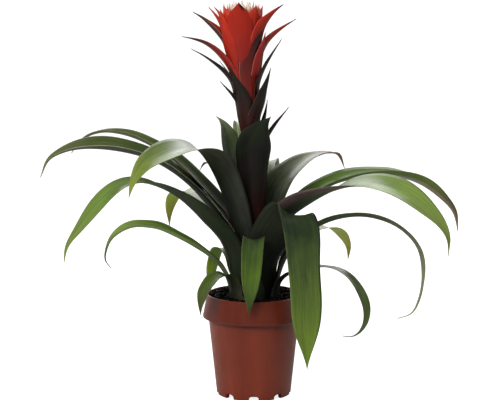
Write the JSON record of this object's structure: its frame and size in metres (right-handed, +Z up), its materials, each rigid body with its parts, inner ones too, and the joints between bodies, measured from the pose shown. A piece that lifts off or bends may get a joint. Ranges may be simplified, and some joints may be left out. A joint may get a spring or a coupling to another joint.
{
  "type": "potted guzmania",
  "caption": "Bromeliad with long arching strap leaves and a funnel of red bracts on an upright stalk, growing in peat in a round tapered nursery pot.",
  "frame": {"origin": "centre of the pot's underside, on the surface that it stands on", "axes": "+Z up, +X to the right and +Y away from the viewer as the plant stands in its picture"},
  "size_m": [0.5415, 0.3149, 0.502],
  "materials": {
    "leaf": "satin",
    "inner_leaf": "satin",
    "pot": "semi-gloss",
    "peat": "matte",
    "dark_bract": "satin",
    "red_bract": "satin",
    "flower_tip": "satin"
  },
  "bodies": {
    "root": {"leaf_front_left_low": "leaf", "leaf_right_low": "leaf", "leaf_back_left_low": "leaf", "leaf_front_low": "leaf", "leaf_back_right_low": "leaf", "leaf_left_thin": "leaf", "leaf_right_slender": "leaf", "leaf_back_left_mid": "leaf", "leaf_back_right_mid": "leaf", "leaf_left_droop": "leaf", "leaf_front_right_broad": "leaf", "leaf_back_far": "leaf", "leaf_right_arch": "leaf", "leaf_left_long": "leaf", "leaf_right_high": "leaf", "leaf_left_high": "leaf", "leaf_back_right_high": "inner_leaf", "leaf_front_left_broad": "inner_leaf", "leaf_right_upright": "inner_leaf", "leaf_back_left_upright": "inner_leaf", "leaf_back_upright": "inner_leaf", "leaf_front_clasping": "inner_leaf", "pot": "pot", "potting_peat": "peat", "stalk_and_dark_bracts": "dark_bract", "red_bracts": "red_bract", "flower_tips": "flower_tip"}
  },
  "joints": []
}
